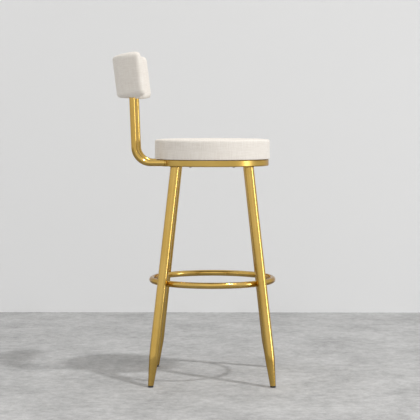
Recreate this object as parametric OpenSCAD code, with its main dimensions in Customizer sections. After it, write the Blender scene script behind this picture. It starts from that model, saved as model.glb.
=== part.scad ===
// Bar stool with a round padded seat, a ring footrest and a curved back pad on two bent posts.
// +X is the stool's front, +Y the sitter's left, +Z up. The origin is on the floor, under the middle of the
// stool's overall length and width, and the seat's axis stands at x = seat_x.

/* [Seat cushion] */
// Height of the cushion's top above the floor
seat_h = 752; // [650:1:820]
// Diameter of the cushion
cushion_d = 360; // [340:1:420]
// Height of the cushion, from the seat ring to its top
cushion_h = 64; // [50:1:90]
// Radius of the cushion's top edge
cushion_edge_r = 9; // [5:1:14]
// Thickness of the cloth on the seat and the back
cloth_t = 1.2; // [0.8:0.1:2]
// Thickness of the plywood seat board
seat_board_t = 15; // [12:1:20]
// Diameter of the opening that the cloth leaves under the board
cloth_opening_d = 300; // [260:1:310]
// Diameter of the dust cover under the seat
dust_cover_d = 334; // [325:1:338]
// Thickness of the dust cover
dust_cover_t = 0.6; // [0.4:0.1:1]

/* [Seat frame] */
// How far the seat ring stays inside the cushion's edge
ring_inset = 3.5; // [2:0.5:6]
// Height and width of the ring's square tube
ring_tube = 20; // [19:1:25]
// Wall of the ring's tube
ring_wall = 1.5; // [1:0.1:2]
// Corner radius of the ring's tube and the cross tubes
ring_corner_r = 3; // [2.5:0.5:4]
// Width of the cross tubes between the leg tops
cross_tube_w = 40; // [34:1:50]
// Wall of the cross tubes
cross_wall = 1.5; // [1:0.1:2]

/* [Legs] */
// Outer diameter of the leg tube
leg_d = 30; // [25:1:32]
// Wall of the leg tube
leg_wall = 1.5; // [1:0.1:2]
// Outer diameter of the swaged lower end
foot_d = 16.5; // [14:0.5:20]
// Length of the swage, along the leg
swage_l = 92; // [60:1:160]
// Radius that blends the swage into the straight tube
swage_blend_r = 260; // [100:10:400]
// Distance from the seat's axis to the middle of each foot
foot_radius = 263; // [230:1:290]
// Visible height of the foot glides
glide_h = 5.5; // [4:0.5:10]
// Length of the glide's stem inside the leg
glide_stem_l = 14; // [10:1:20]

/* [Footrest] */
// Height of the footrest's centre line above the floor
footrest_z = 310; // [220:1:400]
// Outer diameter of the footrest tube
footrest_d = 19; // [16:1:25]
// Wall of the footrest tube
footrest_wall = 1.5; // [1:0.1:2]

/* [Back posts] */
// Outer diameter of the posts
post_d = 19; // [16:1:19]
// Wall of the posts
post_wall = 1.5; // [1:0.1:2]
// Distance between the two posts' axes
post_spacing = 188; // [150:1:220]
// Distance from the cushion's edge back to the posts, at the height of the ring
post_gap = 57; // [53:1:90]
// Radius of the bend, to the tube's axis
post_bend_r = 50; // [35:1:51]
// Backward lean of the posts above the bend, in degrees
post_lean = 2.2; // [0:0.1:3.5]
// Radius of the slight second bend, just inside the back pad
crank_r = 60; // [40:5:80]
// Length of the posts hidden in the back pad
post_in_pad = 92; // [75:1:105]
// How much the tube draws in at its bends, in diameter
bend_draw = 0.04; // [0.02:0.01:0.2]

/* [Back pad] */
// Gap from the top of the seat up to the back pad
back_gap = 128; // [90:1:200]
// Width of the back pad, straight across
back_w = 384; // [350:1:395]
// Height of the back pad, along its lean
back_h = 133; // [120:1:180]
// Thickness of the back pad at its middle
back_t = 64; // [60:1:74]
// Radius of the back pad's rear surface, in plan
back_rear_r = 251; // [245:1:320]
// Radius of the back pad's front surface, in plan
back_front_r = 450; // [420:5:700]
// Radius of the back pad's top edges
back_edge_r = 16; // [8:1:18]
// Backward lean of the back pad, in degrees
back_lean = 7; // [4:0.1:12]
// Angle of the back pad's underside, front edge down, in degrees
back_base_slope = 1; // [0:0.1:4]
// Distance from the posts back to the pad's rear surface, at the pad's middle
back_behind_posts = 54; // [52:0.5:58]
// Thickness of the curved plywood board in the back pad
back_board_t = 12; // [9:1:13]
// Foam above and below the board in the back pad
back_board_margin = 16; // [12:1:24]
// Foam beyond the board's ends
back_board_side = 22; // [18:1:30]

/* [Fasteners] */
// Distance from the seat's axis to the seat bolts
bolt_radius = 95; // [70:1:120]
// Diameter of the seat bolts' thread
bolt_d = 6; // [5:1:8]
// Length of the seat bolts, under the head
bolt_l = 35; // [32:1:36]
// Thickness of the washers under the bolt heads
washer_t = 1.6; // [1:0.1:2]
// Height of the bolt heads
bolt_head_h = 3.3; // [2.5:0.1:4]
// Thickness of the steel plates that hold the board to the posts
plate_t = 3; // [2:0.5:4]
// Width of those plates
plate_w = 34; // [30:1:44]
// Diameter of the wood screws in the back pad
screw_d = 4; // [3.5:0.5:5]

/* [Fits] */
// Clearance between a part and what it slips into
fit_gap = 0.3; // [0.2:0.05:0.5]
// Size of the weld beads
bead = 2; // [1:0.1:3]

/* [Hidden] */
$fn = 96;
e = 1;                                    // how far a cut runs past the face it opens
far = 2000;                               // larger than the stool, for half-space cuts

ring_top = seat_h - cushion_h;
ring_base = ring_top - ring_tube;
ring_mid = (ring_top + ring_base) / 2;
ring_r = cushion_d / 2 - ring_inset;      // outer face of the seat ring
ring_inner_r = ring_r - ring_tube;

leg_top_radius = ring_r - ring_corner_r - leg_d / 2;
leg_splay = atan((foot_radius - leg_top_radius) / ring_base);
leg_l = ring_base / cos(leg_splay);
leg_azimuths = [45, -45, 135, -135];      // front left, front right, rear left, rear right

// Radial place of the legs' axes at height z, and the footrest that touches them from inside
function leg_radius_at(z) = foot_radius - z * tan(leg_splay);
footrest_r = leg_radius_at(footrest_z) - (leg_d / 2 + footrest_d / 2 + fit_gap) / cos(leg_splay);

// A post runs level from inside the ring's tube to its bend, up to the pad, and on at the pad's own lean. Its
// straight lengths reach a little into the drawn-in bends, with tapered ends.
post_setback = cushion_d / 2 + post_gap;
post_y = post_spacing / 2;
bend_tangent = post_bend_r * tan((90 - post_lean) / 2);
bend_x = -post_setback + bend_tangent;
bend_lap = 1;
post_outer_y = post_y + post_d / 2;
post_inner_y = post_y - post_d / 2;
post_end_x = -(sqrt(pow(ring_r, 2) - pow(post_outer_y, 2)) + sqrt(pow(ring_inner_r, 2) - pow(post_inner_y, 2))) / 2;

// The posts' second bend turns at crank_x, crank_z, the origin of the pad's leaning frame. The pad's rear surface
// and the board are centred on an axis in front of it.
crank_rise = 12;
crank_z = seat_h + back_gap + crank_rise;
crank_x = -post_setback - (crank_z - ring_mid) * tan(post_lean);
crank_turn = back_lean - post_lean;
crank_tangent = crank_r * tan(crank_turn / 2);
upright_l = (crank_z - ring_mid) / cos(post_lean) - bend_tangent - crank_tangent;
top_l = post_in_pad - crank_rise - crank_tangent;
back_axis_x = back_rear_r - back_behind_posts;
back_front_axis = back_rear_r - back_front_r - back_t;  // from the rear surface's axis, to the rear
back_base_turn = back_lean + back_base_slope;
back_top = back_h - crank_rise;

// The plates stand behind the posts, square to the line from the pad's axis, and the board is behind the plates
post_radius_in_pad = sqrt(pow(back_axis_x, 2) + pow(post_y, 2));
post_angle_in_pad = atan(post_y / back_axis_x);
plate_front_radius = post_radius_in_pad + post_d / 2;
board_front_r = sqrt(pow(plate_front_radius + plate_t, 2) + pow(plate_w / 2, 2)) + fit_gap / 2;
board_rear_r = board_front_r + back_board_t;
board_base = (board_rear_r - back_axis_x) * tan(back_base_turn) - crank_rise + back_board_margin;
board_top = back_top - back_board_margin;
board_half_angle = asin((back_w / 2 - back_board_side) / board_rear_r);
plate_base = board_base + screw_d;
plate_h = board_top - screw_d - plate_base;
screw_places = [0.2, 0.5, 0.8];           // along the plate's height
screw_l = plate_t + back_board_t - 2;

cushion_base = ring_top + dust_cover_t;
board_r = cushion_d / 2 - cloth_t - fit_gap;
seat_board_z = cushion_base + cloth_t;
seat_foam_z = seat_board_z + seat_board_t;
t_nut_flange_t = 1.5;
t_nut_flange_d = 19;
t_nut_barrel_d = bolt_d + 1.8;
t_nut_l = 10;

// The overall length runs from the top of the back pad to the front of the footrest, feet or cushion
back_rear_x = crank_x - (back_behind_posts - back_edge_r) * cos(back_lean)
    - (back_top - back_edge_r) * sin(back_lean) - back_edge_r;
foot_reach = foot_radius * cos(leg_azimuths[0]) + foot_d / 2;
front_x = max(footrest_r + footrest_d / 2, foot_reach, cushion_d / 2);
seat_x = -(back_rear_x + front_x) / 2;

cloth_colour = [0.93, 0.91, 0.87];
gold_colour = [0.79, 0.63, 0.31];
black_colour = [0.07, 0.07, 0.07];
ply_colour = [0.76, 0.62, 0.43];
foam_colour = [0.94, 0.90, 0.72];
zinc_colour = [0.72, 0.73, 0.74];

// ---- Helpers ----

// Outline with each corner [x, y, r] of a convex, counter-clockwise polygon rounded to its own radius r
function rounded(corners, steps = 6) = [
    for (i = [0 : len(corners) - 1])
        let (
            n = len(corners),
            p = [corners[i].x, corners[i].y],
            r = corners[i].z,
            back = unit([corners[(i + n - 1) % n].x, corners[(i + n - 1) % n].y] - p),
            ahead = unit([corners[(i + 1) % n].x, corners[(i + 1) % n].y] - p),
            half = acos(max(-1, min(1, back * ahead))) / 2,
            centre = p + unit(back + ahead) * r / sin(half),
            first = p + back * r / tan(half) - centre,
            start = atan2(first.y, first.x)
        )
        for (k = r > 0 ? [0 : steps] : [0])
            r > 0 ? centre + r * [cos(start + k / steps * (180 - 2 * half)), sin(start + k / steps * (180 - 2 * half))]
                  : p
];
function unit(v) = v / norm(v);

module at_seat() translate([seat_x, 0, 0]) children();

// Keeps what lies between two heights
module between(z0, z1) intersection() {
    children();
    translate([-far / 2, -far / 2, z0]) cube([far, far, z1 - z0]);
}

// A leg's own frame: its foot is the origin and +Z runs up the leg
module on_leg(azimuth)
    rotate([0, 0, azimuth]) translate([foot_radius, 0, 0]) rotate([0, -leg_splay, 0]) children();

// The back pad's leaning frame
module in_pad() translate([crank_x, 0, crank_z]) rotate([0, -back_lean, 0]) children();

// A place on a curve about the pad's axis, with +X pointing away from the axis
module on_pad_curve(angle, radius) translate([back_axis_x, 0, 0]) rotate([0, 0, 180 - angle])
    translate([radius, 0, 0]) children();

module rounded_square(w, h, r) {
    square([w - 2 * r, h], center = true);
    square([w, h - 2 * r], center = true);
    for (x = [-1, 1], y = [-1, 1]) translate([x * (w / 2 - r), y * (h / 2 - r)]) circle(r, $fn = 32);
}

// ---- Seat frame ----

module ring_solid(grow = 0)
    rotate_extrude() translate([ring_r - ring_tube / 2, ring_mid])
        rounded_square(ring_tube + 2 * grow, ring_tube + 2 * grow, ring_corner_r + grow);

module seat_ring() color(gold_colour) at_seat()
    rotate_extrude() translate([ring_r - ring_tube / 2, ring_mid]) difference() {
        rounded_square(ring_tube, ring_tube, ring_corner_r);
        rounded_square(ring_tube - 2 * ring_wall, ring_tube - 2 * ring_wall, ring_corner_r - ring_wall);
    }

// Rectangular tube from radius r0 to r1, lying at the ring's height
module cross_tube(r0, r1) translate([r0, 0, ring_mid]) rotate([90, 0, 90]) linear_extrude(r1 - r0) difference() {
    rounded_square(cross_tube_w, ring_tube, ring_corner_r);
    rounded_square(cross_tube_w - 2 * cross_wall, ring_tube - 2 * cross_wall, ring_corner_r - cross_wall);
}

// Trims tubes to the ring's inner face and drills them for the seat bolts
module fitted_in_ring() difference() {
    intersection() {
        children();
        translate([0, 0, ring_base - e]) cylinder(h = ring_tube + 2 * e, r = ring_inner_r, $fn = 180);
    }
    at_bolts() translate([0, 0, ring_base - e]) cylinder(h = ring_tube + 2 * e, d = bolt_d + 1, $fn = 32);
}

module at_bolts() for (a = leg_azimuths) rotate([0, 0, a]) translate([bolt_radius, 0, 0]) children();

module cross_tube_full() color(gold_colour) at_seat()
    fitted_in_ring() rotate([0, 0, leg_azimuths[0]]) cross_tube(-ring_r, ring_r);
module cross_tube_half_front() color(gold_colour) at_seat()
    fitted_in_ring() rotate([0, 0, leg_azimuths[1]]) cross_tube(cross_tube_w / 2, ring_r);
module cross_tube_half_rear() color(gold_colour) at_seat()
    fitted_in_ring() rotate([0, 0, leg_azimuths[2]]) cross_tube(cross_tube_w / 2, ring_r);

// ---- Legs and glides ----

// Solid of the leg's outline, shrunk by inset for its bore: a straight tube swaged down to the foot
module leg_solid(inset = 0) rotate_extrude() polygon(rounded([
    [0, -foot_d, 0],
    [foot_d / 2 - inset, -foot_d, 0],
    [foot_d / 2 - inset, 0.01, 0],
    [leg_d / 2 - inset, swage_l, swage_blend_r],
    [leg_d / 2 - inset, leg_l + leg_d, 0],
    [0, leg_l + leg_d, 0]
]));

module leg(azimuth) color(gold_colour) at_seat() between(glide_h, ring_base) on_leg(azimuth) difference() {
    leg_solid();
    leg_solid(leg_wall);
}

// Plastic plug: a ribbed stem in the tube and a flat sole with a bevelled edge
module foot_glide(azimuth) color(black_colour) at_seat() {
    bevel = 1;
    stem_r = foot_d / 2 - leg_wall - fit_gap;
    difference() {
        between(0, glide_h) on_leg(azimuth) translate([0, 0, -foot_d]) cylinder(h = 2 * foot_d, d = foot_d);
        rotate([0, 0, azimuth]) translate([foot_radius, 0, 0]) difference() {
            translate([0, 0, -e]) cylinder(h = bevel + e, d = 2 * foot_d);
            translate([0, 0, -e]) cylinder(h = bevel + e, r1 = foot_d / 2 - bevel - e, r2 = foot_d / 2);
        }
    }
    between(glide_h, far) on_leg(azimuth) {
        cylinder(h = glide_h + glide_stem_l, r = stem_r - 1);
        for (k = [0 : 2]) translate([0, 0, glide_h + 3 + k * (glide_stem_l - 3) / 3])
            cylinder(h = 1.6, r1 = stem_r, r2 = stem_r - 0.6);
    }
}

module leg_front_left() leg(leg_azimuths[0]);
module leg_front_right() leg(leg_azimuths[1]);
module leg_rear_left() leg(leg_azimuths[2]);
module leg_rear_right() leg(leg_azimuths[3]);
module foot_glide_front_left() foot_glide(leg_azimuths[0]);
module foot_glide_front_right() foot_glide(leg_azimuths[1]);
module foot_glide_rear_left() foot_glide(leg_azimuths[2]);
module foot_glide_rear_right() foot_glide(leg_azimuths[3]);

// ---- Footrest ----

module footrest_solid(grow = 0) translate([0, 0, footrest_z]) rotate_extrude($fn = 180)
    translate([footrest_r, 0]) circle(d = footrest_d + 2 * grow, $fn = 48);

module footrest_ring() color(gold_colour) at_seat() difference() {
    footrest_solid();
    footrest_solid(-footrest_wall);
}

// ---- Back posts ----

module bend(r, turn, d) rotate_extrude(angle = turn) translate([r, 0]) circle(d = d - bend_draw);
module lead_in(d) translate([0, 0, -bend_lap]) cylinder(h = bend_lap, d1 = d - bend_lap, d2 = d);

// Straight bar along +Z that starts at a bend
module straight(l, d) {
    cylinder(h = l, d = d);
    lead_in(d);
}

// Bent round bar along the post's axis, with both ends made longer by more
module post_bar(side, d, more = 0) translate([bend_x, side * post_y, ring_mid + post_bend_r]) {
    translate([0, 0, -post_bend_r]) rotate([0, 90, 0]) straight(post_end_x - bend_x + more, d);
    rotate([-90, 0, 0]) rotate([0, 0, 90]) bend(post_bend_r, 90 - post_lean, d);
    rotate([0, -post_lean, 0]) {
        translate([-post_bend_r, 0, 0]) straight(upright_l, d);
        translate([-post_bend_r, 0, upright_l]) mirror([0, 0, 1]) lead_in(d);
        translate([-post_bend_r - crank_r, 0, upright_l]) {
            rotate([90, 0, 0]) bend(crank_r, crank_turn, d);
            rotate([0, -crank_turn, 0]) translate([crank_r, 0, 0]) straight(top_l + more, d);
        }
    }
}

// Hollow tube, coped to the outside of the seat ring
module back_post(side) color(gold_colour) at_seat() difference() {
    post_bar(side, post_d);
    post_bar(side, post_d - 2 * post_wall, e);
    ring_solid();
}

module back_post_left() back_post(1);
module back_post_right() back_post(-1);

// Steel plate on the back of a post, inside the pad, drilled for its wood screws
module post_plate(side) color(zinc_colour) at_seat() in_pad() difference() {
    on_pad_curve(side * post_angle_in_pad, plate_front_radius)
        translate([0, -plate_w / 2, plate_base]) cube([plate_t, plate_w, plate_h]);
    at_screws(side) rotate([0, 90, 0]) cylinder(h = 4 * plate_t, d = screw_d + 2 * fit_gap, center = true, $fn = 32);
}

// Screw places on the plates, two rows either side of the post
module at_screws(side) for (p = screw_places, y = [-1, 1])
    on_pad_curve(side * post_angle_in_pad, plate_front_radius)
        translate([0, y * (plate_w / 2 - 1.4 * screw_d), plate_base + p * plate_h]) children();

module post_plate_left() post_plate(1);
module post_plate_right() post_plate(-1);

// ---- Welds ----

module leg_welds() color(gold_colour) at_seat() for (a = leg_azimuths) difference() {
    rotate([0, 0, a]) translate([leg_top_radius, 0, ring_base - bead])
        cylinder(h = bead, r1 = (leg_d + bead) / 2, r2 = leg_d / 2 + bead);
    on_leg(a) leg_solid();
}

// Each bead fills the crevice between two tubes: what lies within a bead's size of both and inside neither
module footrest_welds() color(gold_colour) at_seat() for (a = leg_azimuths) difference() {
    intersection() {
        footrest_solid(bead);
        on_leg(a) translate([0, 0, footrest_z - 2 * leg_d]) cylinder(h = 4 * leg_d, d = leg_d + 2 * bead);
    }
    footrest_solid();
    on_leg(a) leg_solid();
}

module post_welds() color(gold_colour) at_seat() for (side = [-1, 1]) difference() {
    between(ring_base, ring_top) intersection() {
        ring_solid(bead);
        post_bar(side, post_d + 2 * bead);
    }
    ring_solid();
    post_bar(side, post_d);
}

// ---- Seat cushion ----

module cushion_profile(inset, z0) polygon(rounded([
    [0, z0, 0],
    [cushion_d / 2 - inset, z0, 0],
    [cushion_d / 2 - inset, seat_h - inset, cushion_edge_r - inset],
    [0, seat_h - inset, 0]
]));

module seat_cover() color(cloth_colour) at_seat() difference() {
    rotate_extrude($fn = 180) cushion_profile(0, cushion_base);
    rotate_extrude($fn = 180) cushion_profile(cloth_t, cushion_base + cloth_t);
    translate([0, 0, cushion_base - e]) cylinder(h = cloth_t + 2 * e, d = cloth_opening_d);
}

module seat_foam() color(foam_colour) at_seat()
    rotate_extrude($fn = 180) cushion_profile(cloth_t + fit_gap, seat_foam_z);

module seat_board() color(ply_colour) at_seat() difference() {
    translate([0, 0, seat_board_z]) cylinder(h = seat_board_t, r = board_r, $fn = 180);
    at_bolts() {
        translate([0, 0, seat_board_z - e]) cylinder(h = seat_board_t, d = t_nut_barrel_d + fit_gap, $fn = 32);
        translate([0, 0, seat_foam_z - t_nut_flange_t])
            cylinder(h = t_nut_flange_t + e, d = t_nut_flange_d + fit_gap, $fn = 48);
    }
}

module seat_dust_cover() color(black_colour) at_seat() difference() {
    translate([0, 0, ring_top]) cylinder(h = dust_cover_t, d = dust_cover_d, $fn = 180);
    at_bolts() translate([0, 0, ring_top - e]) cylinder(h = dust_cover_t + 2 * e, d = bolt_d + 1, $fn = 32);
}

module seat_t_nuts() color(zinc_colour) at_seat() at_bolts() difference() {
    union() {
        translate([0, 0, seat_foam_z - t_nut_flange_t]) cylinder(h = t_nut_flange_t, d = t_nut_flange_d, $fn = 48);
        translate([0, 0, seat_foam_z - t_nut_l]) cylinder(h = t_nut_l, d = t_nut_barrel_d, $fn = 32);
    }
    translate([0, 0, seat_foam_z - t_nut_l - e])
        cylinder(h = t_nut_l + 2 * e, d = bolt_d + fit_gap / 2, $fn = 32);
}

module seat_washers() color(zinc_colour) at_seat() at_bolts() translate([0, 0, ring_base - washer_t])
    difference() {
        cylinder(h = washer_t, d = 2 * bolt_d, $fn = 48);
        translate([0, 0, -e]) cylinder(h = washer_t + 2 * e, d = bolt_d + 2 * fit_gap, $fn = 32);
    }

// Button head bolts with a hexagon socket
module seat_bolts() color(zinc_colour) at_seat() at_bolts() translate([0, 0, ring_base - washer_t]) {
    cylinder(h = bolt_l, d = bolt_d, $fn = 32);
    difference() {
        translate([0, 0, -bolt_head_h]) cylinder(h = bolt_head_h, d1 = 1.1 * bolt_d, d2 = 1.75 * bolt_d, $fn = 48);
        translate([0, 0, -bolt_head_h - e]) cylinder(h = bolt_head_h / 2 + e, d = 0.75 * bolt_d, $fn = 6);
    }
}

// ---- Back pad ----

// Curved block of the pad's outline, shrunk by inset on every side. Its parts are made in a frame on the rear
// surface's axis with +X to the rear, and reach past the faces that the others cut.
module pad_block(inset = 0) translate([back_axis_x, 0, 0]) rotate([0, 0, 180]) {
    low = -back_h;
    high = back_top - inset;
    inner = back_rear_r - 2 * back_t;
    past = 0.6;                           // how far a part's rounded edge starts outside another part's face
    r = back_edge_r - inset;
    rear = back_rear_r - inset;
    front = back_front_r + inset;
    end_y = back_w / 2 - inset;
    end_rear = [sqrt(pow(rear + past, 2) - pow(end_y, 2)), end_y];
    end_front = [min(back_front_axis + sqrt(pow(front, 2) - pow(end_y, 2)), end_rear.x - 8), end_y];
    end_l = end_rear.x - end_front.x;
    end_angle = asin(end_y / (rear + past));
    intersection() {
        arc_sweep(0, end_angle + 3)
            polygon(rounded([[inner, low, 0], [rear, low, 0], [rear, high, r], [inner, high, 0]]));
        arc_sweep(back_front_axis, asin(end_y / front) + 3) polygon(rounded([
            [front, low, 0], [front + 2 * back_t, low, 0], [front + 2 * back_t, high + past, 0], [front, high + past, r]
        ]));
        pad_ends(end_front, end_rear, end_l, (rear + past) / cos(end_angle), high);
        rotate([90, 0, 90]) linear_extrude(2 * back_rear_r) polygon(rounded([
            [-end_y - past, low, 0], [end_y + past, low, 0],
            [end_y + past, high + 2 * past, r], [-end_y - past, high + 2 * past, r]
        ]));
        translate([back_axis_x, 0, inset - crank_rise]) rotate([0, -back_base_turn, 0])
            translate([-back_w, -back_w, 0]) cube([2 * back_w, 2 * back_w, 2 * back_h]);
    }
}

// Sweeps an outline by half_angle to both sides, round a vertical axis at x
module arc_sweep(x, half_angle) translate([x, 0, 0]) rotate([0, 0, -half_angle])
    rotate_extrude(angle = 2 * half_angle) children();

// The pad's ends seen from above, with their front and rear corners rounded
module pad_ends(front, rear, l, apex, high) translate([0, 0, -back_h - e]) linear_extrude(back_h + high + 2 * e)
    polygon(rounded([
        [front.x, -front.y, 0.55 * l], [rear.x, -rear.y, 0.4 * l / tan(atan(rear.x / rear.y) / 2)],
        [apex, 0, 0],
        [rear.x, rear.y, 0.4 * l / tan(atan(rear.x / rear.y) / 2)], [front.x, front.y, 0.55 * l]
    ]));

module back_cover() color(cloth_colour) at_seat() difference() {
    in_pad() difference() {
        pad_block();
        pad_block(cloth_t);
    }
    for (side = [-1, 1]) post_bar(side, post_d + 2 * fit_gap);
}

// Curved board with its edges moved out by grow, and its front moved forward by ahead
module board_block(grow = 0, ahead = 0) translate([back_axis_x, 0, 0]) rotate([0, 0, 180 - board_half_angle])
    rotate_extrude(angle = 2 * board_half_angle, $fn = 360)
        translate([board_front_r - ahead, board_base - grow])
            square([board_rear_r - board_front_r + grow + ahead, board_top - board_base + 2 * grow]);

module back_board() color(ply_colour) at_seat() in_pad() difference() {
    board_block();
    for (side = [-1, 1]) at_screws(side) rotate([0, 90, 0])
        translate([0, 0, -e]) cylinder(h = plate_t + screw_l, d = screw_d, $fn = 32);
}

// Everything within a radius of the board's axis
module within_radius(r) in_pad() translate([back_axis_x, 0, -back_h]) cylinder(h = 3 * back_h, r = r, $fn = 360);

// The front foam has a channel for each post and its plate, open at the bottom
module back_foam_front() color(foam_colour) at_seat() difference() {
    intersection() {
        in_pad() pad_block(cloth_t + fit_gap);
        within_radius(board_front_r - fit_gap);
    }
    for (side = [-1, 1]) in_pad() on_pad_curve(side * post_angle_in_pad, plate_front_radius)
        translate([-post_d - fit_gap, -plate_w / 2 - fit_gap, -back_h])
            cube([post_d + 3 * plate_t, plate_w + 2 * fit_gap, back_h + plate_base + plate_h + fit_gap]);
}

// The rear foam holds the board in a pocket
module back_foam_rear() color(foam_colour) at_seat() difference() {
    in_pad() pad_block(cloth_t + fit_gap);
    within_radius(board_front_r);
    in_pad() board_block(fit_gap, e);
}

module back_screws() color(zinc_colour) at_seat() in_pad() for (side = [-1, 1]) at_screws(side)
    rotate([0, 90, 0]) {
        translate([0, 0, -0.5 * screw_d]) cylinder(h = 0.5 * screw_d, d1 = screw_d, d2 = 1.9 * screw_d, $fn = 32);
        cylinder(h = screw_l, d = screw_d - fit_gap / 2, $fn = 32);
    }

seat_ring();
cross_tube_full();
cross_tube_half_front();
cross_tube_half_rear();
leg_front_left();
leg_front_right();
leg_rear_left();
leg_rear_right();
foot_glide_front_left();
foot_glide_front_right();
foot_glide_rear_left();
foot_glide_rear_right();
footrest_ring();
leg_welds();
footrest_welds();
post_welds();
back_post_left();
back_post_right();
post_plate_left();
post_plate_right();
seat_board();
seat_foam();
seat_cover();
seat_dust_cover();
seat_t_nuts();
seat_bolts();
seat_washers();
back_board();
back_foam_front();
back_foam_rear();
back_cover();
back_screws();
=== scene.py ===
import math

import bmesh
import bpy
import numpy as np
from mathutils import Matrix, Vector


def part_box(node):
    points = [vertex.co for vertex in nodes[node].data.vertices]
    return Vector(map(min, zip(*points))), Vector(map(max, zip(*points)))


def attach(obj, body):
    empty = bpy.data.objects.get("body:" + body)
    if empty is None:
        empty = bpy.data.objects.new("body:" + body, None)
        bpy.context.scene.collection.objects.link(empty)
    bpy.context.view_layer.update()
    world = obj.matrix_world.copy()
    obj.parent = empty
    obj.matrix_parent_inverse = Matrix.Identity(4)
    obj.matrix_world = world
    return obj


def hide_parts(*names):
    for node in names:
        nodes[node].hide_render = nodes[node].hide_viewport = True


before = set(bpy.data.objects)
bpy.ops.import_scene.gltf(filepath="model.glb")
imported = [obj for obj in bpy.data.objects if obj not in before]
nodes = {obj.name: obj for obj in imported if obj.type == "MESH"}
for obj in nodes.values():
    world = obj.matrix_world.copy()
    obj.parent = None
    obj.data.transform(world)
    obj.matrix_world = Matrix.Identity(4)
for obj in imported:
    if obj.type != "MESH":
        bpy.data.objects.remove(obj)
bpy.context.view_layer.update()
scene = bpy.context.scene
print("frame loaded,", len(nodes), "nodes")

mm = 0.001
ringLow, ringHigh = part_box("seat_ring")
seatX = (ringLow.x + ringHigh.x) / 2  # the seat's axis, forward of the stool's middle

# The camera stands beside the stool, on the sitter's right

cameraSettings = {
    "place": (0.0358, -4.4503, 0.7951),  # from the seat's axis, on the floor
    "down": 3.433, "turn": 0.556,  # degrees
    "lens": 121.56, "sensor": 36, "farthest": 60,
}


def addCamera(s):
    data = bpy.data.cameras.new("camera")
    data.lens = s["lens"]
    data.sensor_width = s["sensor"]
    data.clip_end = s["farthest"]
    camera = bpy.data.objects.new("camera", data)
    camera.location = (seatX + s["place"][0], s["place"][1], s["place"][2])
    camera.rotation_euler = (math.radians(90 - s["down"]), 0, math.radians(s["turn"]))
    scene.collection.objects.link(camera)
    scene.camera = camera


addCamera(cameraSettings)

# Helpers for materials

socketNames = {
    "metal": "Metallic", "rough": "Roughness", "specular": "Specular IOR Level", "tint": "Specular Tint",
    "sheen": "Sheen Weight", "sheenRough": "Sheen Roughness", "sheenTint": "Sheen Tint",
    "coat": "Coat Weight", "coatRough": "Coat Roughness", "coatIor": "Coat IOR",
}
wideRange, narrowRange = (0.3, 0.7), (0.35, 0.65)  # where most of a noise's values lie


def newMaterial(name, **values):
    material = bpy.data.materials.new(name)
    material.use_nodes = True
    shader = material.node_tree.nodes["Principled BSDF"]
    for socket, value in values.items():
        shader.inputs[socketNames[socket]].default_value = value
    return material, material.node_tree, shader


def plug(tree, target, value):
    if isinstance(value, bpy.types.NodeSocket):
        tree.links.new(value, target)
    else:
        target.default_value = value


def add(tree, kind, values=None, **settings):
    node = tree.nodes.new(kind)
    for name, value in settings.items():
        setattr(node, name, value)
    for socket, value in (values or {}).items():
        plug(tree, node.inputs[socket], value)
    return node


def calc(tree, operation, a, b=0.0, clamp=False):
    return add(tree, "ShaderNodeMath", {0: a, 1: b}, operation=operation, use_clamp=clamp).outputs[0]


def mixColour(tree, share, first, second):
    return add(tree, "ShaderNodeMix", {0: share, 6: first, 7: second}, data_type="RGBA").outputs[2]


def span(tree, value, fromLow, fromHigh, toLow, toHigh, smooth=False):
    kind = "SMOOTHSTEP" if smooth else "LINEAR"
    values = {0: value, 1: fromLow, 2: fromHigh, 3: toLow, 4: toHigh}
    return add(tree, "ShaderNodeMapRange", values, interpolation_type=kind).outputs[0]


def noiseOn(tree, place, scale, detail=3.0, rough=0.5):
    values = {"Vector": place, "Scale": scale, "Detail": detail, "Roughness": rough}
    return add(tree, "ShaderNodeTexNoise", values).outputs["Fac"]


def stretched(tree, place, scale, turn=(0, 0, 0), shift=(0, 0, 0)):
    values = {"Vector": place, "Location": shift, "Rotation": turn, "Scale": scale}
    return add(tree, "ShaderNodeMapping", values).outputs[0]


def vectorCalc(tree, operation, values, output=0):
    return add(tree, "ShaderNodeVectorMath", values, operation=operation).outputs[output]


def parts(tree, vector):
    return add(tree, "ShaderNodeSeparateXYZ", {0: vector}).outputs


def objectPlace(tree):
    return add(tree, "ShaderNodeTexCoord").outputs["Object"]


def bumpFrom(tree, height, strength, distance):
    values = {"Strength": strength, "Distance": distance, "Height": height}
    return add(tree, "ShaderNodeBump", values).outputs[0]


def finish(tree, shader, colour, rough=None, normal=None):
    for name, value in (("Base Color", colour), ("Roughness", rough), ("Normal", normal)):
        if value is not None:
            plug(tree, shader.inputs[name], value)


def paint(names, material):
    for name in names:
        data = nodes[name].data
        data.materials.clear()
        data.materials.append(material)


# Polished gold under a clear coat, on all the tubes. The ring is a brushed band, and so a little duller.

goldSettings = {
    "colour": (0.69, 0.46, 0.115, 1), "deep": (0.625, 0.40, 0.08, 1), "edge": (0.50, 0.34, 0.13, 1),
    "rough": 0.17, "roughSpread": 0.012, "clouds": (14, 4, 0.55), "fine": (240, 3, 0.6), "fineSpread": 0.02,
    "coat": 0.65, "coatRough": 0.08, "coatIor": 1.52,
    "bump": 0.25, "peel": (420, 0.0000015), "lumps": (330, 0.00012),  # how many to the metre, and how deep
    "rubbed": (0.74, 0.54, 0.22, 1), "rubbedRough": 0.1, "rubbedFacing": (0.55, 0.98), "rubbedMost": 0.5,
    "patches": (60, 5, 0.7), "patchRange": (0.46, 0.62),
}
ringSettings = {
    **goldSettings, "colour": (0.73, 0.49, 0.12, 1), "deep": (0.665, 0.43, 0.085, 1),
    "rough": 0.30, "coatRough": 0.24,
}


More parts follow.
